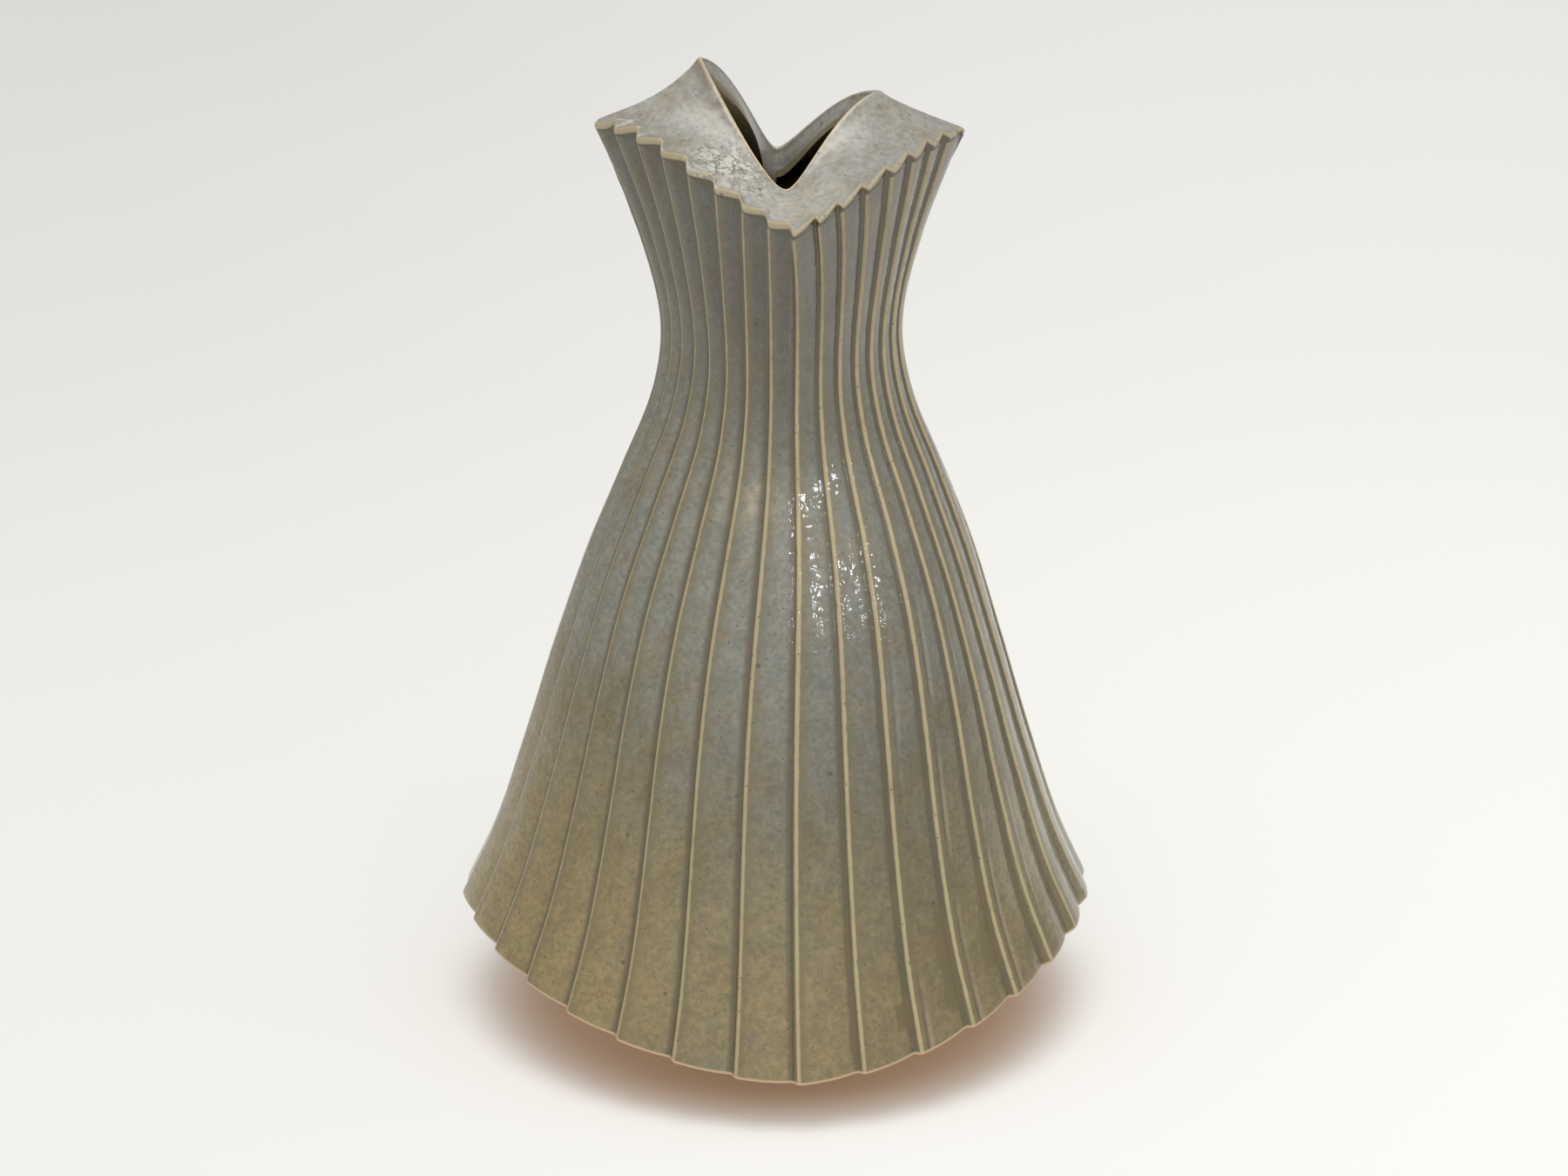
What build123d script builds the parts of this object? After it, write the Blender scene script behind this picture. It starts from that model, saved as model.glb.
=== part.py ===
"""Fan vase: a slab-built stoneware vase whose pleated walls narrow to a waist and flare to a hem.

Frame: millimetres, +Z up, origin on the table under the middle of the foot. The front corner faces -Y.
Angles run from the front corner (0 degrees) to the right corner (90 degrees, +X) and on round the back.
"""
from build123d import *
from math import cos, pi, radians, sin
import os

os.makedirs("parts", exist_ok=True)

# Pleats: knife pleats that all fold the same way, the raised edge first and the recess last
pleats_per_wall = 8
pleat_step_share = 0.10  # share of one pleat's turn that its step face takes
hem_pleat_depth = 2.0
rim_pleat_depth = 1.6
wall_thickness = 4.0  # clay left behind the recess of a pleat

# Corner profile from the hem up: the radius of a corner, and its rise above the point before it
hem_radius = 98.9
flare_radius = 87.9
flare_rise = 24.0
skirt_radius = 78.0
skirt_rise = 30.0
lap_radius = 69.4
lap_rise = 30.0
hip_radius = 60.0
hip_rise = 30.0
flank_radius = 49.3
flank_rise = 27.0
nip_radius = 39.7
nip_rise = 24.0
waist_radius = 37.0
waist_rise = 22.0
bust_radius = 43.2
bust_rise = 27.0
rim_radius = 54.6
rim_rise = 30.4
curve_steps = 2  # points of a wall curve for each step of the profile
level_spacing = 3.0  # least distance between two points of a wall curve

# Plan: 0 is round, 1 is a square standing on its corners
hem_squareness = 0.10
rim_squareness = 0.80

# The hem and the rim sweep up towards the left and right corners, as on an open fan
front_hem_height = 15.5
hem_side_rise = 20.0
rim_left_rise = 19.6
rim_right_rise = 16.2
rim_back_dip = 3.3  # how much lower the rim is at the back corner than at the front one
hem_sweep_power = 1.65
rim_sweep_power = 1.05
rim_dip_power = 3

# Collar: two bent slabs that close the top down to the mouth
collar_edge = 2.2
tread_rise = 2.0  # how much higher the collar's edge is at a recess than at a raised edge
lip_thickness = 2.2
back_lip_depth = 9.0  # the lip of the back slab is turned down inside the mouth
collar_sag = 1.0  # how far the slab hangs below a straight line, at the front and back corners
left_collar_sag = 2.5
right_collar_sag = 0.5
mouth_left = 23.3
mouth_right = 28.0
mouth_depth = 25.0
left_peak_rise = 20.5  # above the rim at the left corner
right_peak_rise = 13.5  # above the rim at the right corner
front_notch_rise = 7.1  # above the rim at the front corner
back_notch_rise = 6.2

# Base slab, bent up at the sides, and the foot ring under it
base_thickness = 5.0
base_inset = 3.0  # how far the slab sits above the hem
foot_radius = 60.0
foot_width = 11.0
foot_taper = 2.0
foot_edge_round = 1.2

# Seam coils pressed into the inside corners
coil_leg = 6.0
seam_coil_thickness = 3.0
seam_coil_edge = 0.8
seam_coil_turn = 4.5  # degrees to each side of the seam
joint_gap = 0.3

# Worked-out values
quarter_turn = 90
profile_radii = [hem_radius, flare_radius, skirt_radius, lap_radius, hip_radius, flank_radius,
                 nip_radius, waist_radius, bust_radius, rim_radius]
profile_rises = [0, flare_rise, skirt_rise, lap_rise, hip_rise, flank_rise,
                 nip_rise, waist_rise, bust_rise, rim_rise]
profile_heights = [sum(profile_rises[: i + 1]) for i in range(len(profile_rises))]
wall_height = profile_heights[-1]
pleat_turn = quarter_turn / pleats_per_wall
step_turn = pleat_turn * pleat_step_share
front_rim_height = front_hem_height + wall_height


def on_side(turn, left, right):
    """The value for the left or the right half of the vase."""
    return right if sin(radians(turn)) > 0 else left


def profile_slope(i):
    """Slope of the corner profile at its point i, from the points on each side."""
    low = max(i - 1, 0)
    high = min(i + 1, len(profile_radii) - 1)
    return (profile_radii[high] - profile_radii[low]) / (profile_heights[high] - profile_heights[low])


def corner_radius(height):
    """Radius of a corner at a height above the hem: one smooth curve through the profile's points."""
    i = 0
    while i < len(profile_heights) - 2 and height > profile_heights[i + 1]:
        i += 1
    span = profile_heights[i + 1] - profile_heights[i]
    t = (height - profile_heights[i]) / span
    start = profile_radii[i] * (2 * t**3 - 3 * t**2 + 1) + profile_slope(i) * span * (t**3 - 2 * t**2 + t)
    end = profile_radii[i + 1] * (3 * t**2 - 2 * t**3) + profile_slope(i + 1) * span * (t**3 - t**2)
    return start + end


def side_sweep(turn):
    """How far the hem and the rim are swept up at an angle; the rim also dips at the back."""
    side = abs(sin(radians(turn)))
    behind = max(-cos(radians(turn)), 0)
    rim_side_rise = on_side(turn, rim_left_rise, rim_right_rise)
    rim_sweep = rim_side_rise * side**rim_sweep_power - rim_back_dip * behind**rim_dip_power
    return hem_side_rise * side**hem_sweep_power, rim_sweep


def level(turn, height):
    """Height above the table of a point of the wall at a height above the hem."""
    hem_sweep, rim_sweep = side_sweep(turn)
    return front_hem_height + height + hem_sweep + (rim_sweep - hem_sweep) * height / wall_height


def wall_height_at(turn, z):
    """Height above the hem of a point of the wall at a height above the table."""
    hem_sweep, rim_sweep = side_sweep(turn)
    return (z - front_hem_height - hem_sweep) / (1 + (rim_sweep - hem_sweep) / wall_height)


def ridge_radius(turn, height):
    """Radius of a pleat's raised edge: a square plan at the rim that turns round towards the hem."""
    square = 1 / (abs(cos(radians(turn))) + abs(sin(radians(turn))))
    share = hem_squareness + (rim_squareness - hem_squareness) * (height / wall_height) ** 2
    return corner_radius(height) * (1 - share + share * square)


def valley_radius(turn, height):
    """Radius of a pleat's recess."""
    depth = hem_pleat_depth + (rim_pleat_depth - hem_pleat_depth) * height / wall_height
    return ridge_radius(turn, height) - depth


def inner_radius(turn, height):
    """Radius of the smooth inside of the wall."""
    return valley_radius(turn, height) - wall_thickness


def inside_face(turn, height):
    """Radius of the wall's inside between two of its section lines, where the face is flat."""
    start = pleat_turn * (turn // pleat_turn)
    if turn - start < step_turn:
        low, high = start, start + step_turn
    else:
        low, high = start + step_turn, start + pleat_turn
    r_low = inner_radius(low, height)
    r_high = inner_radius(high, height)
    across = r_low * sin(radians(turn - low)) + r_high * sin(radians(high - turn))
    return r_low * r_high * sin(radians(high - low)) / across


def radial_plane(turn):
    """Upright plane through the axis: local x runs outwards, local y runs up."""
    a = radians(turn)
    return Plane(origin=(0, 0, 0), x_dir=(sin(a), -cos(a), 0), z_dir=(-cos(a), -sin(a), 0))


def pleat_sections(start, count):
    """Angles of the section lines of some pleats, each with the radius function of its outside."""
    sections = []
    for i in range(count):
        sections.append((start + i * pleat_turn, valley_radius))
        sections.append((start + i * pleat_turn + step_turn, ridge_radius))
    sections.append((start + count * pleat_turn, valley_radius))
    return sections


def curve_heights(low, high):
    """Heights above the hem for the points of a wall curve, closest where the profile turns most."""
    between = []
    for start, rise in zip(profile_heights, profile_rises[1:]):
        between += [start + rise * i / curve_steps for i in range(curve_steps)]
    return [low] + [h for h in between if low + level_spacing < h < high - level_spacing] + [high]


def wall_curve(turn, radius, low, high, offset=0):
    """Points up the wall at one angle, between two heights above the hem."""
    return [(radius(turn, h) - offset, level(turn, h)) for h in curve_heights(low, high)]


def lip_rise(turn, way):
    """Share of the climb from a notch to a peak: straight on the front left lip, bowed on the others."""
    on_front_left = sin(radians(turn)) < 0 and cos(radians(turn)) > 0
    return way if on_front_left else sin(way * pi / 2)


def lip_point(turn):
    """Radius, height and depth of the mouth's lip, low at the front and back, and the slab's sag there."""
    ahead = abs(cos(radians(turn)))
    aside = abs(sin(radians(turn)))
    mouth_side = on_side(turn, mouth_left, mouth_right)
    radius = 1 / (ahead / mouth_depth + aside / mouth_side)
    way = aside * radius / mouth_side
    peak = front_rim_height + on_side(turn, rim_left_rise + left_peak_rise, rim_right_rise + right_peak_rise)
    in_front = cos(radians(turn)) > 0
    notch = front_rim_height + (front_notch_rise if in_front else back_notch_rise)
    height = notch + (peak - notch) * lip_rise(turn, way)
    middle_depth = lip_thickness if in_front else back_lip_depth
    depth = middle_depth + (lip_thickness - middle_depth) * way
    side_sag = on_side(turn, left_collar_sag, right_collar_sag)
    return radius, height, depth, collar_sag + (side_sag - collar_sag) * way


def base_sweep(offset):
    """Ends and middle of the base slab's curve, lifted by an offset, in the XZ plane."""
    reach = hem_radius + base_thickness
    rise = hem_side_rise * (reach / hem_radius) ** 2
    low = front_hem_height + base_inset + offset
    return (-reach, low + rise), (0, low), (reach, low + rise)


def base_top(x):
    """Height of the base slab's upper face at a distance from the middle."""
    (_, high), (_, low), (reach, _) = base_sweep(base_thickness)
    rise = high - low
    bend = (reach**2 + rise**2) / (2 * rise)
    return low + bend - (bend**2 - x**2) ** 0.5


def base_corner(turn):
    """Radius and height of the inside corner between the wall and the base slab, less the joint gap."""
    radius = hem_radius
    for _ in range(6):
        z = base_top(radius * sin(radians(turn))) + joint_gap
        radius = inner_radius(turn, wall_height_at(turn, z)) - joint_gap
    return radius, z


def base_coil_points(turn):
    """Three corners of the coil's section in the corner between the wall and the base slab."""
    radius, z = base_corner(turn)
    top = z + coil_leg
    tip = radius - coil_leg
    upper = inner_radius(turn, wall_height_at(turn, top)) - joint_gap, top
    inward = tip, base_top(tip * sin(radians(turn))) + joint_gap
    return (radius, z), upper, inward


def shoulder_coil_points(turn):
    """Three corners of the coil's section in the corner between the wall and the collar."""
    rim = level(turn, wall_height)
    inner = inner_radius(turn, wall_height)
    lip_radius, lip_height, lip_depth, _ = lip_point(turn)
    slope = (lip_height - lip_depth - rim) / (inner - lip_radius)
    low = wall_height - coil_leg
    corner = inner - joint_gap, rim - joint_gap
    inward = inner - coil_leg, rim + slope * coil_leg - (1 + slope) * joint_gap
    lower = inner_radius(turn, low) - joint_gap, level(turn, low)
    return corner, inward, lower


# Walls: four pleated slabs, butted at the four corners
wall_names = ["front_right_wall", "back_right_wall", "back_left_wall", "front_left_wall"]
for quarter, name in enumerate(wall_names):
    with BuildPart() as wall:
        for turn, outside in pleat_sections(quarter_turn * quarter, pleats_per_wall):
            outer = wall_curve(turn, outside, 0, wall_height)
            inner = wall_curve(turn, inner_radius, 0, wall_height)
            with BuildSketch(radial_plane(turn)):
                with BuildLine():
                    Spline(*outer)
                    Line(outer[-1], inner[-1])
                    Spline(*reversed(inner))
                    Line(inner[0], outer[0])
                make_face()
        loft(ruled=True)
    wall.part.label = name
    export_step(wall.part, f"parts/{name}.step")

# Collar: front and back slabs, seated on the rim of the walls and joined under the two peaks
for start, name in ((-quarter_turn, "front_collar"), (quarter_turn, "back_collar")):
    with BuildPart() as collar:
        for turn, outside in pleat_sections(start, 2 * pleats_per_wall):
            rim = level(turn, wall_height)
            outer = outside(turn, wall_height)
            inner = inner_radius(turn, wall_height)
            lip_radius, lip_height, lip_depth, sag = lip_point(turn)
            edge = rim + collar_edge + (tread_rise if outside is valley_radius else 0)
            middle = (outer + lip_radius) / 2, (edge + lip_height) / 2 - sag
            with BuildSketch(radial_plane(turn)):
                with BuildLine():
                    Line((outer, rim), (outer, edge))
                    ThreePointArc((outer, edge), middle, (lip_radius, lip_height))
                    Line((lip_radius, lip_height), (lip_radius, lip_height - lip_depth))
                    Line((lip_radius, lip_height - lip_depth), (inner, rim))
                    Line((inner, rim), (outer, rim))
                make_face()
        loft(ruled=True)
    collar.part.label = name
    export_step(collar.part, f"parts/{name}.step")

# Base slab: bent up at both sides like the hem, and trimmed to the inside of the walls
section_turns = [turn for turn, _ in pleat_sections(0, 4 * pleats_per_wall)][:-1]
trim_low = front_hem_height
trim_high = base_top(hem_radius) + base_thickness
trim_steps = 6
with BuildPart() as base_slab:
    with BuildSketch(Plane.XZ):
        with BuildLine():
            under = ThreePointArc(*base_sweep(0))
            over = ThreePointArc(*base_sweep(base_thickness))
            Line(under @ 0, over @ 0)
            Line(under @ 1, over @ 1)
        make_face()
    extrude(amount=hem_radius, both=True)
    for i in range(trim_steps):
        z = trim_low + (trim_high - trim_low) * i / (trim_steps - 1)
        outline = []
        for turn in section_turns:
            radius = inner_radius(turn, max(wall_height_at(turn, z), 0)) - joint_gap
            outline.append((radius * sin(radians(turn)), -radius * cos(radians(turn))))
        with BuildSketch(Plane.XY.offset(z)):
            Polygon(*outline, align=None)
    loft(ruled=True, mode=Mode.INTERSECT)
base_slab.part.label = "base_slab"
export_step(base_slab.part, "parts/base_slab.step")

# Foot ring: flat on the table, cut on top to the curve of the base slab
foot_top = base_top(foot_radius)
with BuildPart() as foot_ring:
    with BuildSketch(Plane.XZ):
        with BuildLine():
            Polyline(
                (foot_radius - foot_width + foot_taper, 0),
                (foot_radius - foot_taper, 0),
                (foot_radius, foot_top),
                (foot_radius - foot_width, foot_top),
                close=True,
            )
        make_face()
    revolve(axis=Axis.Z)
    table_edges = foot_ring.edges().group_by(Axis.Z)[0]
    fillet(table_edges, foot_edge_round)
    with BuildSketch(Plane.XZ):
        with BuildLine():
            under = ThreePointArc(*base_sweep(0))
            over = ThreePointArc(*base_sweep(foot_radius))
            Line(under @ 0, over @ 0)
            Line(under @ 1, over @ 1)
        make_face()
    extrude(amount=hem_radius, both=True, mode=Mode.SUBTRACT)
foot_ring.part.label = "foot_ring"
export_step(foot_ring.part, "parts/foot_ring.step")

# Corner seam coils: a strap of clay over the inside of each corner joint
seam_low = base_inset + base_thickness + coil_leg + 2 * joint_gap
seam_high = wall_height - coil_leg - joint_gap
corner_names = ["front_seam_coil", "right_seam_coil", "back_seam_coil", "left_seam_coil"]
for quarter, name in enumerate(corner_names):
    with BuildPart() as seam_coil:
        for side, thickness in ((-1, seam_coil_edge), (0, seam_coil_thickness), (1, seam_coil_edge)):
            turn = quarter_turn * quarter + side * seam_coil_turn
            outer = wall_curve(turn, inside_face, seam_low, seam_high, joint_gap)
            inner = wall_curve(turn, inside_face, seam_low, seam_high, joint_gap + thickness)
            with BuildSketch(radial_plane(turn)):
                with BuildLine():
                    Spline(*outer)
                    Line(outer[-1], inner[-1])
                    Spline(*reversed(inner))
                    Line(inner[0], outer[0])
                make_face()
        loft(ruled=True)
    seam_coil.part.label = name
    export_step(seam_coil.part, f"parts/{name}.step")

# Base and shoulder seam coils: one length of coil along each wall
for name, coil_points in (("base_seam_coil", base_coil_points), ("shoulder_seam_coil", shoulder_coil_points)):
    with BuildPart() as ring_coil:
        for quarter in range(4):
            for turn, _ in pleat_sections(quarter_turn * quarter, pleats_per_wall):
                with BuildSketch(radial_plane(turn)):
                    Polygon(*coil_points(turn), align=None)
            loft(ruled=True)
    ring_coil.part.label = name
    export_step(ring_coil.part, f"parts/{name}.step")
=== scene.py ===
import math

import bpy
import numpy as np
from mathutils import Matrix, Vector


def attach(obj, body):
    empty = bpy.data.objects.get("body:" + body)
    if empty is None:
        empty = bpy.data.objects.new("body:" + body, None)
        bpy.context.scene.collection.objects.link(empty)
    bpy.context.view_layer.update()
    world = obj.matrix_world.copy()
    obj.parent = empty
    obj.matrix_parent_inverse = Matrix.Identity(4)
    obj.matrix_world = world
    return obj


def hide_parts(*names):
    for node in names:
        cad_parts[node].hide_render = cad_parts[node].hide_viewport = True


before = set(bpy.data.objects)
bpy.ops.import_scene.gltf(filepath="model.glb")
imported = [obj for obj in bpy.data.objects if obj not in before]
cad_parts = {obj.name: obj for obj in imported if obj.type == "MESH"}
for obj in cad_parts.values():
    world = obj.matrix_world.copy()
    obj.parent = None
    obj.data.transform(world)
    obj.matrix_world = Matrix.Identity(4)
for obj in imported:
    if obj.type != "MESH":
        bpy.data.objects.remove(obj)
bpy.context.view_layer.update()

mm = 0.001
rng = np.random.RandomState(7)

# Pleats
quarter_turn = 90
pleats_per_wall = 8
pleat_turn = quarter_turn / pleats_per_wall
pleat_count = 4 * pleats_per_wall
step_share = 0.08
face_bow = 1.9  # above 1 the face of a pleat bows outwards
hem_pleat_depth = 2.0 * mm
rim_pleat_depth = 1.6 * mm
middle_flattening = 0.35  # how much of their depth the pleats lose halfway up
wave_share = 0.24  # at the right of the hem the steps widen by this share, and the pleats end in waves
wave_reach = 60 * mm
wall_thickness = 4.0 * mm
edge_round = 0.6 * mm
groove_offset = 2.5  # millimetres from a raised edge to the scored line beside it

# Corner profile from the hem up
profile_radii = np.array([98.9, 87.9, 78.0, 69.4, 60.0, 49.3, 39.7, 37.0, 43.2, 54.6]) * mm
profile_rises = np.array([0, 24.0, 30.0, 30.0, 30.0, 27.0, 24.0, 22.0, 27.0, 30.4]) * mm
profile_heights = np.cumsum(profile_rises)
wall_height = profile_heights[-1]
hem_squareness = 0.10
rim_squareness = 0.80

# Sweep of the hem and the rim
front_hem_height = 15.5 * mm
hem_side_rise = 20.0 * mm
rim_left_rise = 19.6 * mm
rim_right_rise = 16.2 * mm
rim_back_dip = 3.3 * mm
hem_sweep_power = 1.65
rim_sweep_power = 1.05
rim_dip_power = 3
hem_round = 1.4 * mm

# Collar
collar_edge = 2.2 * mm
collar_edge_round = 0.8 * mm
collar_overhang = 0.35 * mm
left_band_height = 2.1 * mm  # the edge of the slab that shows above the wall
right_band_height = 1.4 * mm
left_tread_rise = 3.1 * mm  # the front edge is higher at a recess than at a raised edge
right_tread_rise = 1.8 * mm
back_tread_rise = 0.8 * mm
tread_round = 1.0 * mm
tread_reach = 4.0 * mm  # how far the treads still show on top of the collar
corner_smoothing = 6.0  # degrees to each side of the left and right corners without treads
back_edge_drop = 1.2 * mm  # the collar's edge is thinner at the back corner
lip_thickness = 2.2 * mm
lip_roll = 0.5 * mm  # the lip stands up this far
dull_lip = 0.8  # millimetres by which the cream on the back lip is narrower
back_lip_depth = 8.0 * mm
left_lip_drop = 8.0 * mm  # the back lip hangs lower between the back corner and a side
right_lip_drop = 1.0 * mm
back_lip_lean = 4.0 * mm
collar_sag = 1.0 * mm
left_collar_sag = 2.6 * mm
right_collar_sag = 0.5 * mm
mouth_left = 23.3 * mm
mouth_right = 28.0 * mm
mouth_depth = 25.0 * mm
left_peak_rise = 20.5 * mm
right_peak_rise = 13.5 * mm
front_notch_rise = 7.1 * mm
back_notch_rise = 6.2 * mm
notch_round = 0.12  # share of the way to a peak over which a notch is rounded
front_rim_height = front_hem_height + wall_height

# Hand work: how the pleats wander from equal angles, in degrees, and how their depths differ
pleat_spread = 6.0
pleat_twist = 3.0
rim_bunching = 4.1
pleat_jitter = 0.35
depth_jitter = 0.12
wall_wobble = 0.35 * mm
hip_lean = 0.9 * mm  # to the right
hip_lean_height = 150 * mm
hip_lean_reach = 42 * mm

# Photograph: the camera that took it, in metres, degrees and pixels
photo_width = 1800
focal_pixels = 4770
camera_distance = 1.2686
camera_elevation = 20.48
camera_azimuth = -3.41
camera_roll = 0.38
target_height = 135.1 * mm
target_shift = 1.65 * mm


def srgb(red, green, blue):
    """Linear colour from 8-bit sRGB values."""
    values = np.array([red, green, blue]) / 255
    linear = np.where(values <= 0.04045, values / 12.92, ((values + 0.055) / 1.055) ** 2.4)
    return (*linear.tolist(), 1.0)


# Shape of the vase


def profile_slopes():
    """Slope of the corner profile at its points, from the points on each side."""
    low = np.maximum(np.arange(len(profile_radii)) - 1, 0)
    high = np.minimum(np.arange(len(profile_radii)) + 1, len(profile_radii) - 1)
    return (profile_radii[high] - profile_radii[low]) / (profile_heights[high] - profile_heights[low])


def corner_radius(height):
    """Radius of a corner at a height above the hem: one smooth curve through the profile's points."""
    i = np.clip(np.searchsorted(profile_heights, height) - 1, 0, len(profile_heights) - 2)
    slopes = profile_slopes()
    span = profile_heights[i + 1] - profile_heights[i]
    t = (height - profile_heights[i]) / span
    start = profile_radii[i] * (2 * t**3 - 3 * t**2 + 1) + slopes[i] * span * (t**3 - 2 * t**2 + t)
    end = profile_radii[i + 1] * (3 * t**2 - 2 * t**3) + slopes[i + 1] * span * (t**3 - t**2)
    return start + end


def on_side(turn, left, right):
    """The value of the left or the right side of the vase."""
    return np.where(np.sin(np.radians(turn)) > 0, right, left)


def level(turn, height):
    """Height above the table of a point of the wall at a height above the hem."""
    side = np.abs(np.sin(np.radians(turn)))
    hem_sweep = hem_side_rise * side**hem_sweep_power
    behind = np.clip(-np.cos(np.radians(turn)), 0, 1)
    rim_sweep = on_side(turn, rim_left_rise, rim_right_rise) * side**rim_sweep_power
    rim_sweep = rim_sweep - rim_back_dip * behind**rim_dip_power
    return front_hem_height + height + hem_sweep + (rim_sweep - hem_sweep) * height / wall_height


def ridge_radius(turn, height):
    """Radius of the pleats' raised edges: a square plan at the rim that turns round towards the hem."""
    a = np.radians(turn)
    square = 1 / (np.abs(np.cos(a)) + np.abs(np.sin(a)))
    share = hem_squareness + (rim_squareness - hem_squareness) * (height / wall_height) ** 2
    return corner_radius(height) * (1 - share + share * square)


def pleat_depth(height):
    """Depth of the pleats at a height above the hem."""
    share = height / wall_height
    even = hem_pleat_depth + (rim_pleat_depth - hem_pleat_depth) * share
    return even * (1 - middle_flattening * np.sin(math.pi * share))


def inner_radius(turn, height):
    """Radius of the smooth inside of the wall."""
    return ridge_radius(turn, height) - hem_pleat_depth - wall_thickness


def step_width(turn, height):
    """Share of a pleat that its step takes."""
    to_right = np.clip(4 * np.sin(np.radians(turn)) - 3, 0, 1)
    return step_share + wave_share * to_right * np.clip(1 - height / wave_reach, 0, 1)


def recess(phase, step, bow):
    """How deep one pleat lies below its raised edge, 0 to 1: a step up, then a long face down."""
    phase = phase % 1
    face = np.clip((phase - step) / (1 - step), 0, 1) ** bow
    return np.where(phase < step, 1 - phase / step, face)


def soft_recess(phase, softness, step=step_share, bow=face_bow):
    """The same with rounded edges; softness is the rounding as a share of the pleat's width."""
    kernel = {-1.0: 1, -0.67: 2, -0.33: 3, 0.0: 4, 0.33: 3, 0.67: 2, 1.0: 1}
    total = sum(weight * recess(phase + offset * softness, step, bow) for offset, weight in kernel.items())
    return total / sum(kernel.values())


pleat_jitters = rng.uniform(-pleat_jitter, pleat_jitter, pleat_count)
pleat_depths = 1 + rng.uniform(-depth_jitter, depth_jitter, pleat_count)
wobble_phases = rng.uniform(0, 2 * math.pi, 5)


def wandered(turn, height):
    """Where a pleat line that starts at an angle on the hem has wandered to at a height."""
    share = height / wall_height
    spread = pleat_spread * np.sin(math.pi * share**1.5) * np.sin(2 * np.radians(turn))
    twist = pleat_twist * np.sin(math.pi * share**3)
    bunching = rim_bunching * share**6 * np.sin(4 * np.radians(turn))
    jitter = np.interp(turn % 360, np.arange(pleat_count) * pleat_turn, pleat_jitters, period=360)
    return turn + spread + twist - bunching + jitter


def wobble(turn, height):
    """Slow unevenness of a wall made by hand."""
    a = np.radians(turn)
    h = height / wall_height * 2 * math.pi
    waves = ((2, 1.0), (3, 0.7), (5, 1.6), (7, 1.1), (4, 2.2))
    return wall_wobble * sum(
        np.sin(around * a + up * h + phase) for (around, up), phase in zip(waves, wobble_phases)
    ) / 2


def pleated_radius(line, turn, height):
    """Radius of the outside of the wall on a pleat line, with the line's place across its pleat."""
    phase = line / pleat_turn
    width = ridge_radius(turn, height) * math.radians(pleat_turn)
    depths = pleat_depths[np.floor(phase).astype(int) % pleat_count]
    step = step_width(turn, height)
    depth = pleat_depth(height) * soft_recess(phase, edge_round / width, step)
    rounded = depths + (1 - depths) * recess(phase, step, face_bow)
    return ridge_radius(turn, height) - depth * rounded + wobble(turn, height)


def lip_climb(turn, way):
    """Share of the climb from a notch to a peak, 0 to 1; each of the four lips has its own bow."""
    soft_way = np.hypot(way, notch_round) - notch_round * (1 - way)
    bowed = np.sin(np.clip(soft_way, 0, 1) * math.pi / 2)
    front = on_side(turn, soft_way**1.2, bowed)
    back = on_side(turn, 0.75 * bowed + 0.25 * soft_way, 0.9 * bowed + 0.1 * soft_way)
    return np.where(np.cos(np.radians(turn)) > 0, front, back)


def lip_point(turn):
    """Radius, height and depth of the mouth's lip, and the sag of the collar there."""
    ahead = np.abs(np.cos(np.radians(turn)))
    sharp_aside = np.abs(np.sin(np.radians(turn)))
    aside = np.hypot(sharp_aside, notch_round) - notch_round * (1 - sharp_aside)
    mouth_side = on_side(turn, mouth_left, mouth_right)
    radius = 1 / (ahead / mouth_depth + aside / mouth_side)
    way = np.clip(sharp_aside * radius / mouth_side, 0, 1)
    side_rise = on_side(turn, rim_left_rise + left_peak_rise, rim_right_rise + right_peak_rise)
    in_front = np.cos(np.radians(turn)) > 0
    notch_rise = np.where(in_front, front_notch_rise, back_notch_rise)
    height = front_rim_height + notch_rise + (side_rise - notch_rise) * lip_climb(turn, way)
    middle_depth = np.where(in_front, lip_thickness, back_lip_depth)
    drop = np.where(in_front, 0, on_side(turn, left_lip_drop, right_lip_drop))
    depth = middle_depth + (lip_thickness - middle_depth) * way**6
    depth = depth + drop * np.sqrt(np.abs(np.sin(math.pi * way)))
    side_sag = on_side(turn, left_collar_sag, right_collar_sag)
    return radius, height, depth, collar_sag + (side_sag - collar_sag) * way


def place(turn, radius, z):
    """Points in the frame from angles, radii and heights."""
    a = np.radians(turn)
    return np.stack(np.broadcast_arrays(radius * np.sin(a), -radius * np.cos(a), z), axis=-1)


# Meshes


def pleat_lines(start, count):
    """Angles on the hem of the mesh columns of some pleats, closest at the steps and raised edges."""
    across = np.array([0, 0.02, 0.04, 0.06, 0.08, 0.10, 0.12, 0.14, 0.165, 0.20, 0.25, 0.32, 0.40, 0.50,
                       0.60, 0.70, 0.78, 0.85, 0.90, 0.94, 0.97, 0.985])
    phases = (np.arange(count)[:, None] + across).ravel()
    return start + np.append(phases, count) * pleat_turn


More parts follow.
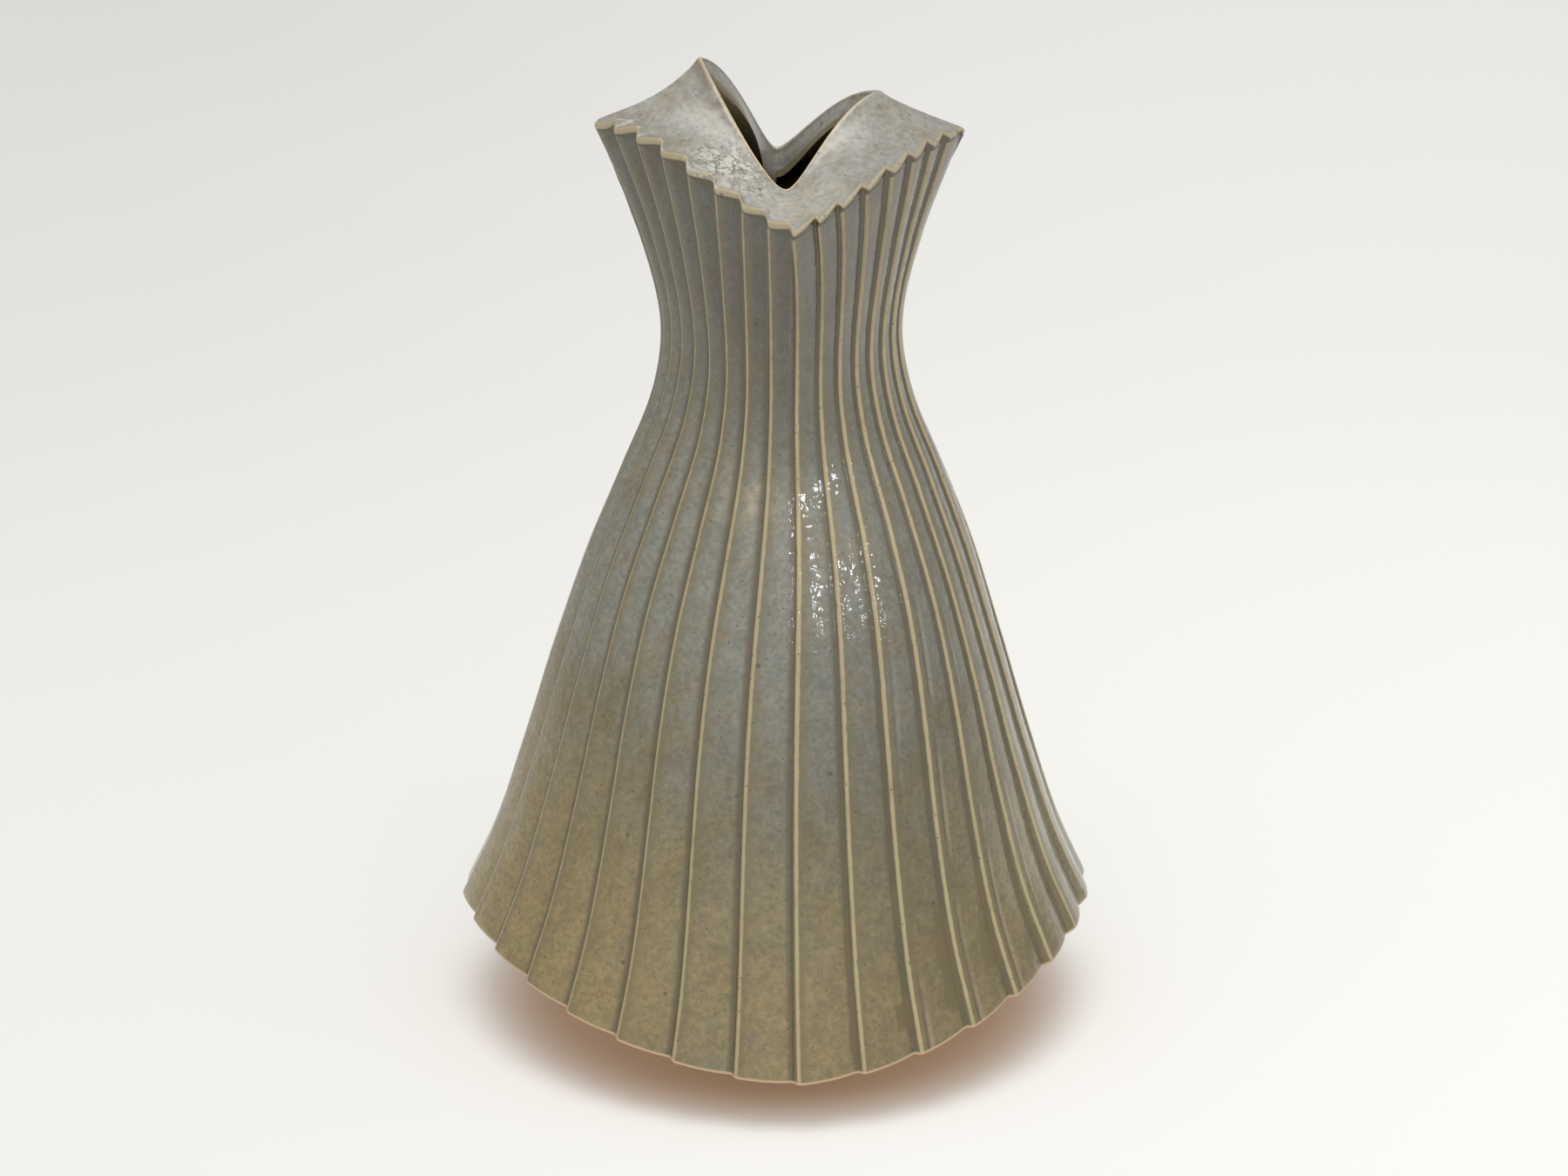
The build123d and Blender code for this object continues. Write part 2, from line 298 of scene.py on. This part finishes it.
def shell_mesh(name, outside, inside, coats):
    """A closed mesh between two grids of points, columns by rows, joined all round their edges."""
    columns, rows = outside.shape[:2]
    out, inn = np.arange(2 * columns * rows).reshape(2, columns, rows)

    def strip(a, b, c, d):
        return np.stack([a, b, c, d], axis=-1).reshape(-1, 4)

    quads = np.concatenate([
        strip(out[:-1, :-1], out[1:, :-1], out[1:, 1:], out[:-1, 1:]),
        strip(inn[:-1, :-1], inn[:-1, 1:], inn[1:, 1:], inn[1:, :-1]),
        strip(out[:-1, 0], inn[:-1, 0], inn[1:, 0], out[1:, 0]),
        strip(out[:-1, -1], out[1:, -1], inn[1:, -1], inn[:-1, -1]),
        strip(out[0, :-1], out[0, 1:], inn[0, 1:], inn[0, :-1]),
        strip(out[-1, :-1], inn[-1, :-1], inn[-1, 1:], out[-1, 1:]),
    ])
    points = np.concatenate([outside.reshape(-1, 3), inside.reshape(-1, 3)])
    mesh = bpy.data.meshes.new(name)
    mesh.from_pydata(points.tolist(), [], quads.tolist())
    mesh.shade_smooth()
    mesh.set_sharp_from_angle(angle=math.radians(65))
    for coat, values in coats.items():
        attribute = mesh.attributes.new(coat, "FLOAT", "POINT")
        attribute.data.foreach_set("value", np.concatenate([side.ravel() for side in values]))
    piece = bpy.data.objects.new(name, mesh)
    bpy.context.collection.objects.link(piece)
    return piece


def wall_mesh(name, start):
    """One pleated wall, from the front, right, back or left corner to the next."""
    hem_angles = np.radians(np.array([0, 30, 60, 90]))
    hem_insets = hem_round * (1 - np.sin(hem_angles))
    hem_rises = hem_round * (1 - np.cos(hem_angles))
    heights = np.concatenate([hem_rises, np.linspace(2 * hem_round, wall_height, 112)])
    insets = np.concatenate([hem_insets, np.zeros(112)])
    line, height = np.meshgrid(pleat_lines(start, pleats_per_wall), heights, indexing="ij")
    turn = wandered(line, height)
    z = level(turn, height)
    outside = place(turn, pleated_radius(line, turn, height) - insets, z)
    outside[..., 0] += hip_lean * np.exp(-(((height - hip_lean_height) / hip_lean_reach) ** 2))
    inside = place(turn, inner_radius(turn, height), z)

    phase = line / pleat_turn % 1
    phase[-1] = 1
    width = ridge_radius(turn, height) * math.radians(pleat_turn)
    step = step_width(turn, height)
    step_length = np.hypot(step * width, pleat_depth(height))
    on_step = phase < step
    along_step = phase / step * step_length
    along_face = np.minimum((phase - step) * width, (1 - phase) * width + step_length)
    from_ridge = np.where(on_step, step_length - along_step, along_face)
    from_recess = np.where(on_step, along_step, (1 - phase) * width)
    far = np.full_like(width, 50)
    none = np.zeros_like(width)
    coats = {
        "from_edge": (from_ridge / mm, far),
        "from_recess": (from_recess / mm, far),
        "from_groove": (np.where(on_step, 0, phase - step) * width / mm - groove_offset, far),
        "above_hem": (height / mm, height / mm),
        "bare": ((insets > 0.1 * hem_round) * np.ones_like(width), none),
        "on_collar": (none, none),
        "from_lip": (far, far),
        "on_band": (none, none),
        "inside": (none, none + 1),
    }
    return shell_mesh(name, outside, inside, coats)


def collar_mesh(name, start):
    """The front or back half of the collar: a slab whose edge steps from pleat to pleat like treads."""
    line = pleat_lines(start, 2 * pleats_per_wall)
    turn = wandered(line, wall_height)
    outer = pleated_radius(line, turn, wall_height)
    inner = inner_radius(turn, wall_height)
    rim = level(turn, wall_height)
    lip_radius, lip_height, lip_depth, sag = lip_point(turn)
    envelope = ridge_radius(turn, wall_height)
    lip_round = lip_thickness / 2
    pleat_width = envelope * math.radians(pleat_turn)
    in_front = np.cos(np.radians(turn)) > 0
    from_side = np.degrees(np.arccos(np.clip(np.abs(np.sin(np.radians(turn))), 0, 1)))
    rise = np.where(in_front, on_side(turn, left_tread_rise, right_tread_rise), back_tread_rise)
    tread = soft_recess(line / pleat_turn, tread_round / pleat_width, bow=1.1)
    tread = tread * rise * (1 - np.exp(-((from_side / corner_smoothing) ** 2)))
    back = np.clip(-np.cos(np.radians(turn)), 0, 1) ** 4
    edge = rim + collar_edge - back_edge_drop * back

    def top_height(radius):
        """Height of the collar's upper face."""
        way = np.clip((envelope - radius) / (envelope - lip_radius - lip_round), 0, 1)
        smooth = edge + (lip_height - edge) * way - 6 * sag * way**1.5 * (1 - way)
        treads = tread * np.exp(-(((radius - outer) / tread_reach) ** 2)) * (1 - way) ** 2
        roll = lip_roll * np.exp(-(((radius - lip_radius - lip_round) / (2 * mm)) ** 2)) * way**8
        return smooth + treads + roll

    edge_outer = outer + collar_overhang
    edge_top = top_height(outer)
    band_height = on_side(turn, left_band_height, right_band_height)
    band_low = np.maximum(edge_top - band_height, rim + 0.2 * mm)
    over = [(outer, rim), (outer, (rim + band_low) / 2), (outer, band_low), (edge_outer, band_low + 0.3 * mm)]
    for angle in np.radians([0, 30, 60]):
        over.append((
            edge_outer - collar_edge_round * (1 - np.cos(angle)),
            edge_top - collar_edge_round * (1 - np.sin(angle)),
        ))
    top_start = edge_outer - collar_edge_round
    for way in np.linspace(0, 1, 30):
        radius = top_start + (lip_radius + lip_round - top_start) * way
        over.append((radius, top_height(radius)))
    lip_top = top_height(lip_radius + lip_round)
    for angle in np.radians([30, 60, 90]):
        over.append((
            lip_radius + lip_round * (1 - np.sin(angle)),
            lip_top - lip_round * (1 - np.cos(angle)),
        ))
    lip_rows = 6
    lean = back_lip_lean * (lip_depth - lip_thickness) / (back_lip_depth - lip_thickness)
    face_low = lip_top - lip_depth
    under = []
    for way in np.linspace(0, 1, len(over) - lip_rows):
        radius = inner + (lip_radius + lip_round - lean - inner) * way
        under.append((radius, rim + (face_low - rim) * way**2))
    for way in np.linspace(0, 1, lip_rows + 1)[1:]:
        z = face_low + (lip_top - lip_round - face_low) * way
        under.append((lip_radius + lip_round * (1 - way) ** 2 - lean * (1 - way), z - 0.05 * mm))
    outside = np.stack([place(turn, radius, z) for radius, z in over], axis=1)
    inside = np.stack([place(turn, radius, z) for radius, z in under], axis=1)

    steps = np.linalg.norm(np.diff(outside, axis=1), axis=2) / mm
    travel = np.concatenate([np.zeros((len(turn), 1)), np.cumsum(steps, axis=1)], axis=1)
    edge_row, lip_row = 5, len(over) - 3
    from_edge = np.abs(travel - travel[:, edge_row:edge_row + 1])
    from_lip = np.abs(travel - travel[:, lip_row:lip_row + 1]) + np.where(in_front, 0, dull_lip)[:, None]
    beside_band = travel[:, 2:3] - travel
    far = np.full_like(travel, 50)
    none = np.zeros_like(travel)
    on_slab = np.broadcast_to(np.arange(len(over)) > 2, travel.shape)
    on_band = np.broadcast_to((np.arange(len(over)) > 2) & (np.arange(len(over)) < 6), travel.shape)
    on_face = np.broadcast_to(np.arange(len(under)) > len(under) - lip_rows, travel.shape)
    coats = {
        "from_edge": (from_edge, far),
        "from_recess": (np.where(on_slab, 50, beside_band), far),
        "from_groove": (far, far),
        "above_hem": (far * 5, far * 5),
        "bare": (none, none),
        "on_collar": (on_slab * 1.0, on_face * 1.0),
        "from_lip": (from_lip, far),
        "on_band": (on_band * 1.0, none),
        "inside": (none, 1.0 - on_face),
    }
    return shell_mesh(name, outside, inside, coats)


# Materials


class Shading:
    """A node material under construction: each method adds one node and returns its output."""

    def __init__(self, name):
        self.material = bpy.data.materials.new(name)
        self.material.use_nodes = True
        self.nodes = self.material.node_tree.nodes
        self.links = self.material.node_tree.links
        self.surface = self.nodes["Principled BSDF"]
        self.place = self.add("ShaderNodeTexCoord").outputs["Object"]

    def add(self, kind, inputs=None, **settings):
        node = self.nodes.new(kind)
        for key, value in settings.items():
            setattr(node, key, value)
        for key, value in (inputs or {}).items():
            self.feed(node.inputs[key], value)
        return node

    def feed(self, socket, value):
        if isinstance(value, bpy.types.NodeSocket):
            self.links.new(value, socket)
        else:
            socket.default_value = value

    def coat(self, name):
        return self.add("ShaderNodeAttribute", attribute_name=name).outputs["Fac"]

    def noise(self, size, detail=3.0, rough=0.55, upright=1.0):
        """Noise with patches of a size; upright below 1 draws them out in height."""
        place = self.place
        if upright != 1.0:
            place = self.add("ShaderNodeMapping", {"Vector": place, "Scale": (1, 1, upright)}).outputs[0]
        inputs = {"Vector": place, "Scale": 1 / size, "Detail": detail, "Roughness": rough}
        return self.add("ShaderNodeTexNoise", inputs).outputs[0]

    def away(self, point):
        """Distance from a point."""
        inputs = {0: self.place, 1: point}
        return self.add("ShaderNodeVectorMath", inputs, operation="DISTANCE").outputs["Value"]

    def math(self, operation, a, b=0.0):
        return self.add("ShaderNodeMath", {0: a, 1: b}, operation=operation).outputs[0]

    def ramp(self, value, low, high, start=0.0, end=1.0):
        inputs = {0: value, 1: low, 2: high, 3: start, 4: end}
        node = self.add("ShaderNodeMapRange", inputs, interpolation_type="SMOOTHSTEP")
        return node.outputs[0]

    def mix(self, share, a, b, blend="MIX"):
        inputs = {0: share, 6: a, 7: b}
        return self.add("ShaderNodeMix", inputs, data_type="RGBA", blend_type=blend).outputs[2]

    def specks(self, spacing, size, share):
        """Small round specks: 1 inside a speck; share is the part of the cells that holds one."""
        cells = self.add("ShaderNodeTexVoronoi", {"Vector": self.place, "Scale": 1 / spacing})
        draw = self.add("ShaderNodeSeparateColor", {0: cells.outputs["Color"]}).outputs[0]
        held = self.math("LESS_THAN", draw, share)
        dot = self.ramp(cells.outputs["Distance"], size / spacing, 0.4 * size / spacing)
        return self.math("MULTIPLY", dot, held)


edge_cream = srgb(178, 162, 122)
band_tan = srgb(166, 151, 112)
lip_cream = srgb(224, 203, 162)
lip_brown = srgb(112, 97, 76)
inside_olive = srgb(126, 115, 83)
recess_olive = srgb(72, 64, 40)
wall_grey = srgb(113, 113, 102)
wall_brown = srgb(122, 109, 87)
wall_olive = srgb(108, 97, 63)
hem_olive = srgb(145, 127, 79)
drip_olive = srgb(100, 87, 48)
thin_beige = srgb(152, 143, 119)
hem_clay = srgb(200, 172, 138)
collar_grey = srgb(146, 146, 138)
collar_tan = srgb(142, 135, 120)
frost_white = srgb(204, 204, 193)
frost_vein = srgb(112, 110, 96)
iron_brown = srgb(58, 47, 33)
cool_tint = (0.98, 1.00, 1.02, 1.0)
warm_tint = (1.03, 1.00, 0.97, 1.0)
thin_middle = (-11 * mm, -40 * mm, 178 * mm)
# Centre of the painted light that brightens the front of the collar.
painted_light_middle = (0, -46 * mm, 263 * mm)
frost_middle = (-17 * mm, -26 * mm, 272 * mm)
frost_radius = 18 * mm
edge_reach = 0.9  # millimetres of cream to each side of a raised edge
recess_reach = 2.1  # millimetres of olive beside a recess, pooled glaze and painted shade


def glaze():
    """Satin stoneware glaze: blue-grey where thicker, olive in recesses, cream where it thins on edges; with
    painted sheen on the hip, painted shade in the recesses, up the bust and to the right, and painted light
    on the front of the collar.
    """
    s = Shading("glaze")
    wander = s.math("MULTIPLY", s.math("SUBTRACT", s.noise(3 * mm), 0.5), 0.6)
    from_edge = s.math("ADD", s.coat("from_edge"), wander)
    from_recess = s.math("ADD", s.coat("from_recess"), wander)
    from_lip = s.math("ADD", s.coat("from_lip"), wander)
    height = s.coat("above_hem")
    collar = s.coat("on_collar")
    across = s.add("ShaderNodeSeparateXYZ", {0: s.place}).outputs[0]

    zones = s.noise(38 * mm, 3.0)
    patches = s.noise(9 * mm, 4.0, 0.6, 0.6)
    # The hip band carries painted sheen: the glaze turns bluer grey and brighter around the hip.
    hip = s.ramp(s.math("ABSOLUTE", s.math("SUBTRACT", height, 135.0)), 85.0, 5.0)
    front = s.ramp(s.math("ABSOLUTE", across), 75 * mm, 10 * mm, 0.0, 0.25)
    thick_and_sheen = s.math("ADD", patches, s.math("ADD", s.math("MULTIPLY", zones, 0.6), front))
    # Painted sheen: the hip band pushes the glaze towards blue-grey.
    thick_and_sheen = s.math("ADD", thick_and_sheen, s.math("MULTIPLY", hip, 0.25))
    colour = s.mix(s.ramp(thick_and_sheen, 0.70, 1.20), wall_olive, wall_grey)
    colour = s.mix(s.ramp(s.noise(14 * mm, 4.0), 0.52, 0.72, 0.0, 0.7), colour, wall_brown)
    low = s.math("MULTIPLY", s.ramp(height, 115.0, 8.0, 0.0, 0.85), s.ramp(zones, 0.3, 0.6, 0.55, 1.0))
    colour = s.mix(low, colour, hem_olive)
    # Painted light and shade: brighter on the hip, darker up the bust and towards the right.
    painted_light_tone = s.math("MULTIPLY", s.ramp(hip, 0.2, 1.0, 0.88, 1.15), s.ramp(height, 150.0, 225.0, 1.0, 0.56))
    painted_light_tone = s.math("MULTIPLY", painted_light_tone, s.ramp(across, -15 * mm, 45 * mm, 1.0, 0.80))
    colour = s.mix(1.0, colour, painted_light_tone, "MULTIPLY")
    thinned = s.ramp(s.noise(6 * mm, 3.0), 0.4, 0.6, 0.2, 0.8)
    thinned = s.math("MULTIPLY", thinned, s.ramp(s.away(thin_middle), 14 * mm, 4 * mm))
    colour = s.mix(thinned, colour, thin_beige)
    shade = s.mix(s.ramp(patches, 0.35, 0.65), collar_tan, collar_grey)
    # Painted light: the collar is brighter towards its front corner.
    painted_front_light = s.ramp(s.away(painted_light_middle), 34 * mm, 8 * mm, 1.0, 1.46)
    colour = s.mix(collar, colour, s.mix(1.0, shade, painted_front_light, "MULTIPLY"))
    clouds = s.ramp(s.noise(5 * mm, 3.0), 0.3, 0.7, 0.90, 1.10)
    mottles = s.ramp(s.noise(1.7 * mm, 3.0, 0.65), 0.3, 0.7, 0.82, 1.18)
    colour = s.mix(1.0, colour, s.math("MULTIPLY", clouds, mottles), "MULTIPLY")
    tint = s.mix(s.ramp(s.noise(4 * mm, 3.0), 0.35, 0.65), cool_tint, warm_tint)
    colour = s.mix(s.ramp(collar, 0.0, 1.0, 1.0, 0.5), colour, s.mix(1.0, colour, tint, "MULTIPLY"))

    fringe = s.ramp(from_edge, 4.0, 0.8, 0.0, 0.6)
    colour = s.mix(fringe, colour, s.mix(collar, wall_olive, collar_tan))
    # Pooled glaze and painted shade: dark olive beside each recess.
    pool_and_shade = s.ramp(from_recess, recess_reach, 0.2 * recess_reach, 0.0, 0.65)
    colour = s.mix(pool_and_shade, colour, recess_olive)
    from_groove = s.math("ADD", s.coat("from_groove"), wander)
    scored = s.math("MULTIPLY", s.ramp(across, 22 * mm, 42 * mm), s.ramp(height, 150.0, 90.0))
    scored = s.math("MULTIPLY", scored, s.ramp(zones, 0.40, 0.55))
    groove = s.ramp(s.math("ABSOLUTE", from_groove), 0.7, 0.2, 0.0, 0.6)
    pale = s.ramp(s.math("ABSOLUTE", s.math("SUBTRACT", from_groove, 1.3)), 1.1, 0.3, 0.0, 0.5)
    colour = s.mix(s.math("MULTIPLY", groove, scored), colour, recess_olive)
    colour = s.mix(s.math("MULTIPLY", pale, scored), colour, thin_beige)
    near_hem = s.ramp(height, 60.0, 16.0)
    drips = s.math("MULTIPLY", near_hem, s.ramp(s.noise(17 * mm, 1.0), 0.44, 0.60))
    drip_width = s.math("MULTIPLY", drips, s.ramp(across, 0.0, 45 * mm, 0.8, 6.5))
    drip_end = s.math("ADD", 3.0, s.math("MULTIPLY", s.noise(9 * mm, 1.0), 7.0))
    drained = s.ramp(s.math("SUBTRACT", height, drip_end), 0.0, 1.6, 0.0, 0.8)
    drip = s.ramp(s.math("SUBTRACT", drip_width, from_recess), 0.0, 1.2)
    colour = s.mix(s.math("MULTIPLY", drip, drained), colour, drip_olive)
    cream_share = s.ramp(across, -60 * mm, 5 * mm, 0.6, 0.9)
    cream_share = s.math("MULTIPLY", cream_share, s.ramp(patches, 0.3, 0.5, 0.75, 1.0))
    cream_share = s.math("MULTIPLY", cream_share, s.ramp(height, 180.0, 225.0, 1.0, 0.62))
    cream = s.math("MULTIPLY", s.ramp(from_edge, edge_reach, 0.4 * edge_reach), cream_share)
    colour = s.mix(cream, colour, edge_cream)
    banded = s.math("MULTIPLY", s.coat("on_band"), s.ramp(s.noise(3 * mm), 0.35, 0.6, 0.45, 0.95))
    colour = s.mix(banded, colour, s.mix(cream, band_tan, edge_cream))

    frosted = s.ramp(s.away(frost_middle), frost_radius, 0.3 * frost_radius)
    frost = s.math("MULTIPLY", frosted, s.ramp(s.noise(4 * mm, 5.0, 0.7), 0.36, 0.56, 0.0, 0.9))
    veins = s.ramp(s.math("ABSOLUTE", s.math("SUBTRACT", s.noise(3.5 * mm, 3.0, 0.6), 0.5)), 0.012, 0.05)
    colour = s.mix(s.math("MULTIPLY", frost, collar), colour, s.mix(veins, frost_vein, frost_white))
    thin = s.math("MULTIPLY", s.ramp(from_lip, 6.0, 1.5, 0.0, 0.75), s.ramp(patches, 0.45, 0.60))
    thin = s.math("MULTIPLY", thin, s.ramp(across, 0.0, -8 * mm))
    colour = s.mix(thin, colour, lip_brown)
    dulled = s.ramp(s.math("ABSOLUTE", across), 9 * mm, 22 * mm, 1.0, 0.4)
    colour = s.mix(s.math("MULTIPLY", s.ramp(from_lip, 1.3, 0.6), dulled), colour, lip_cream)
    iron = s.math("MAXIMUM", s.specks(2.3 * mm, 0.42 * mm, 0.45), s.specks(10 * mm, 1.0 * mm, 0.30))
    colour = s.mix(s.math("MULTIPLY", iron, 0.7), colour, iron_brown)
    colour = s.mix(s.coat("inside"), colour, inside_olive)
    bare = s.ramp(s.coat("bare"), 0.2, 0.8)
    colour = s.mix(bare, colour, hem_clay)
    s.feed(s.surface.inputs["Base Color"], colour)

    rough = s.ramp(s.noise(12 * mm, 3.0), 0.3, 0.7, 0.34, 0.50)
    s.feed(s.surface.inputs["Roughness"], s.math("MAXIMUM", rough, s.math("MULTIPLY", bare, 0.8)))
    s.surface.inputs["IOR"].default_value = 1.5
    s.feed(s.surface.inputs["Coat Weight"], s.ramp(bare, 0.0, 1.0, 0.8, 0.0))
    s.feed(s.surface.inputs["Coat Roughness"], s.ramp(collar, 0.0, 1.0, 0.10, 0.30))
    peel = s.math("ADD", s.noise(1.5 * mm, 2.0), s.math("MULTIPLY", s.noise(4 * mm, 2.0), 1.6))
    bump = s.add("ShaderNodeBump", {"Height": peel, "Strength": 0.45, "Distance": 0.3 * mm})
    s.feed(s.surface.inputs["Normal"], bump.outputs[0])
    gloss = s.add("ShaderNodeBump", {"Height": s.noise(3 * mm, 1.0), "Strength": 1.0, "Distance": 0.2 * mm})
    s.feed(s.surface.inputs["Coat Normal"], gloss.outputs[0])
    return s.material


def inside_glaze():
    """The thin olive glaze on the coils inside the vase."""
    s = Shading("inside_glaze")
    colour = s.mix(s.ramp(s.noise(10 * mm, 4.0), 0.35, 0.65), recess_olive, wall_olive)
    colour = s.mix(s.math("MULTIPLY", s.specks(3.2 * mm, 0.42 * mm, 0.35), 0.7), colour, iron_brown)
    s.feed(s.surface.inputs["Base Color"], colour)
    s.feed(s.surface.inputs["Roughness"], s.ramp(s.noise(12 * mm, 3.0), 0.3, 0.7, 0.28, 0.42))
    bump = s.add("ShaderNodeBump", {"Height": s.noise(2 * mm, 3.0), "Strength": 0.4, "Distance": 0.3 * mm})
    s.feed(s.surface.inputs["Normal"], bump.outputs[0])
    return s.material


def bare_clay():
    """Unglazed warm buff stoneware with a grog texture."""
    s = Shading("bare_clay")
    warm = s.ramp(s.noise(14 * mm, 4.0), 0.35, 0.65)
    colour = s.mix(warm, srgb(178, 132, 96), srgb(198, 153, 116))
    colour = s.mix(s.ramp(s.noise(1.2 * mm, 3.0), 0.6, 0.3, 0.0, 0.35), colour, srgb(140, 100, 78))
    colour = s.mix(s.math("MULTIPLY", s.specks(3.6 * mm, 0.45 * mm, 0.35), 0.7), colour, srgb(84, 60, 46))
    s.feed(s.surface.inputs["Base Color"], colour)
    s.surface.inputs["Roughness"].default_value = 0.85
    grog = s.math("ADD", s.noise(0.8 * mm, 3.0), s.noise(4 * mm, 2.0))
    bump = s.add("ShaderNodeBump", {"Height": grog, "Strength": 0.5, "Distance": 0.3 * mm})
    s.feed(s.surface.inputs["Normal"], bump.outputs[0])
    return s.material


def floor_paper():
    """Matt pale paper that glows a little as painted light from below, more in front and on the right; beside
    the foot the glow is weaker and warm brown, a painted contact shadow with painted warm bounce light.
    """
    s = Shading("floor_paper")
    colour = s.mix(s.noise(0.4, 2.0), srgb(197, 196, 192), srgb(201, 200, 197))
    s.feed(s.surface.inputs["Base Color"], colour)
    across, ahead = s.add("ShaderNodeSeparateXYZ", {0: s.place}).outputs[:2]
    beside = s.away((0, 0, 0))
    # Painted warm bounce light: the glow turns warm brown beside the foot.
    painted_glow_colour = s.mix(s.ramp(beside, 68 * mm, 103 * mm), srgb(196, 152, 98), srgb(253, 253, 250))
    s.feed(s.surface.inputs["Emission Color"], painted_glow_colour)
    # Painted light: the paper glows, more in front and on the right, and less beside the foot as a painted
    # contact shadow.
    painted_glow_strength = s.math("MULTIPLY", s.ramp(across, -0.4, 0.4, 0.28, 0.38), s.ramp(ahead, 0.8, -0.1, 0.95, 1.13))
    painted_glow_strength = s.math("MULTIPLY", painted_glow_strength, s.ramp(beside, 65 * mm, 100 * mm, 0.5, 1.0))
    s.feed(s.surface.inputs["Emission Strength"], painted_glow_strength)
    s.surface.inputs["Roughness"].default_value = 0.9
    s.surface.inputs["Specular IOR Level"].default_value = 0.1
    return s.material


# Pieces
outer_glaze = glaze()
coil_glaze = inside_glaze()
clay = bare_clay()


def dress(piece, node):
    """Gives a modelled piece the glaze and puts it in the place of its CAD node."""
    piece.data.materials.append(outer_glaze)
    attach(piece, "root")
    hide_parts(node)


walls = ["front_right_wall", "back_right_wall", "back_left_wall", "front_left_wall"]
for quarter, node in enumerate(walls):
    dress(wall_mesh("glazed_" + node, quarter_turn * quarter), node)
for node, start in (("front_collar", -quarter_turn), ("back_collar", quarter_turn)):
    dress(collar_mesh("glazed_" + node, start), node)
replaced = walls + ["front_collar", "back_collar"]
for node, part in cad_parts.items():
    if node not in replaced:
        part.data.materials.clear()
        part.data.materials.append(coil_glaze if node.endswith("coil") else clay)


# Stage
floor_radius = 3
front_strength = 0.95
back_strength = 0.40
overhead_place = (-0.03, -0.45, 2.2)
overhead_size = (1.2, 1.2)
overhead_watts = 22
vase_middle = (0, 0, 0.14)
glint_azimuths = (2, 11, 20, 29)  # degrees that the glinting spots of the hip face
glint_elevation = 20
glint_radius = 43 * mm
glint_height = 171 * mm
glint_reach = 26 * mm
lamp_distance = 0.85
lamp_radius = 0.02
lamp_watts = 1.7


def floor():
    """A large round sheet of paper, level with the foot."""
    turns = np.linspace(0, 2 * math.pi, 96, endpoint=False)
    rim = [(floor_radius * math.cos(a), floor_radius * math.sin(a), 0) for a in turns]
    mesh = bpy.data.meshes.new("floor")
    mesh.from_pydata(rim, [], [list(range(len(rim)))])
    sheet = bpy.data.objects.new("floor", mesh)
    mesh.materials.append(floor_paper())
    bpy.context.collection.objects.link(sheet)


def soft_light(name, place, aim, size, watts):
    """A soft box of a width and height at a place, facing a point."""
    lamp = bpy.data.lights.new(name, "AREA")
    lamp.shape = "RECTANGLE"
    lamp.size, lamp.size_y = size
    lamp.energy = watts
    box = bpy.data.objects.new(name, lamp)
    box.location = place
    box.rotation_euler = (Vector(aim) - Vector(place)).to_track_quat("-Z", "Y").to_euler()
    bpy.context.collection.objects.link(box)


def direction(azimuth, elevation):
    """Unit vector towards an azimuth, counted from the front to the right, and an elevation."""
    a, e = math.radians(azimuth), math.radians(elevation)
    return Vector((math.sin(a) * math.cos(e), -math.cos(a) * math.cos(e), math.sin(e)))


def glint_lamp(azimuth):
    """A small spotlight that glints in the photograph where the hip faces an azimuth."""
    name = f"glint_lamp_{azimuth}"
    normal = direction(azimuth, glint_elevation)
    viewer = direction(camera_azimuth, camera_elevation)
    towards = 2 * normal.dot(viewer) * normal - viewer
    aim = direction(azimuth, 0) * glint_radius + Vector((0, 0, glint_height))
    lamp = bpy.data.lights.new(name, "SPOT")
    lamp.energy = lamp_watts
    lamp.color = (0.94, 0.97, 1.0)
    lamp.shadow_soft_size = lamp_radius
    lamp.spot_size = 2 * math.atan(glint_reach / lamp_distance)
    lamp.spot_blend = 0.5
    spot = bpy.data.objects.new(name, lamp)
    spot.location = aim + towards * lamp_distance
    spot.rotation_euler = (-towards).to_track_quat("-Z", "Y").to_euler()
    bpy.context.collection.objects.link(spot)


def studio_world():
    """Soft light from all round, strongest from the front."""
    world = bpy.data.worlds.new("studio")
    bpy.context.scene.world = world
    world.use_nodes = True
    nodes, links = world.node_tree.nodes, world.node_tree.links
    sky = nodes["Background"]
    sky.inputs["Color"].default_value = srgb(246, 245, 243)
    split = nodes.new("ShaderNodeSeparateXYZ")
    links.new(nodes.new("ShaderNodeTexCoord").outputs["Generated"], split.inputs[0])
    strength = nodes.new("ShaderNodeMapRange")
    for i, value in enumerate((-1.0, 1.0, front_strength, back_strength)):
        strength.inputs[i + 1].default_value = value
    links.new(split.outputs[1], strength.inputs[0])
    links.new(strength.outputs[0], sky.inputs["Strength"])


floor()
soft_light("overhead_box", overhead_place, vase_middle, overhead_size, overhead_watts)
for azimuth in glint_azimuths:
    glint_lamp(azimuth)
studio_world()
bpy.context.scene.view_settings.view_transform = "Standard"


# Camera
def photo_camera():
    """The camera at the photograph's viewing angle."""
    a = math.radians(camera_azimuth)
    roll = math.radians(camera_roll)
    right = Vector((math.cos(a), math.sin(a), 0))
    ahead = -direction(camera_azimuth, camera_elevation)
    up = right.cross(ahead)
    place = Vector((0, 0, target_height)) + right * target_shift - ahead * camera_distance
    right, up = right * math.cos(roll) + up * math.sin(roll), up * math.cos(roll) - right * math.sin(roll)
    data = bpy.data.cameras.new("photo_camera")
    data.sensor_width = 36
    data.lens = data.sensor_width * focal_pixels / photo_width
    camera = bpy.data.objects.new("photo_camera", data)
    camera.matrix_world = Matrix((right, up, -ahead)).transposed().to_4x4()
    camera.location = place
    bpy.context.collection.objects.link(camera)
    bpy.context.scene.camera = camera


photo_camera()
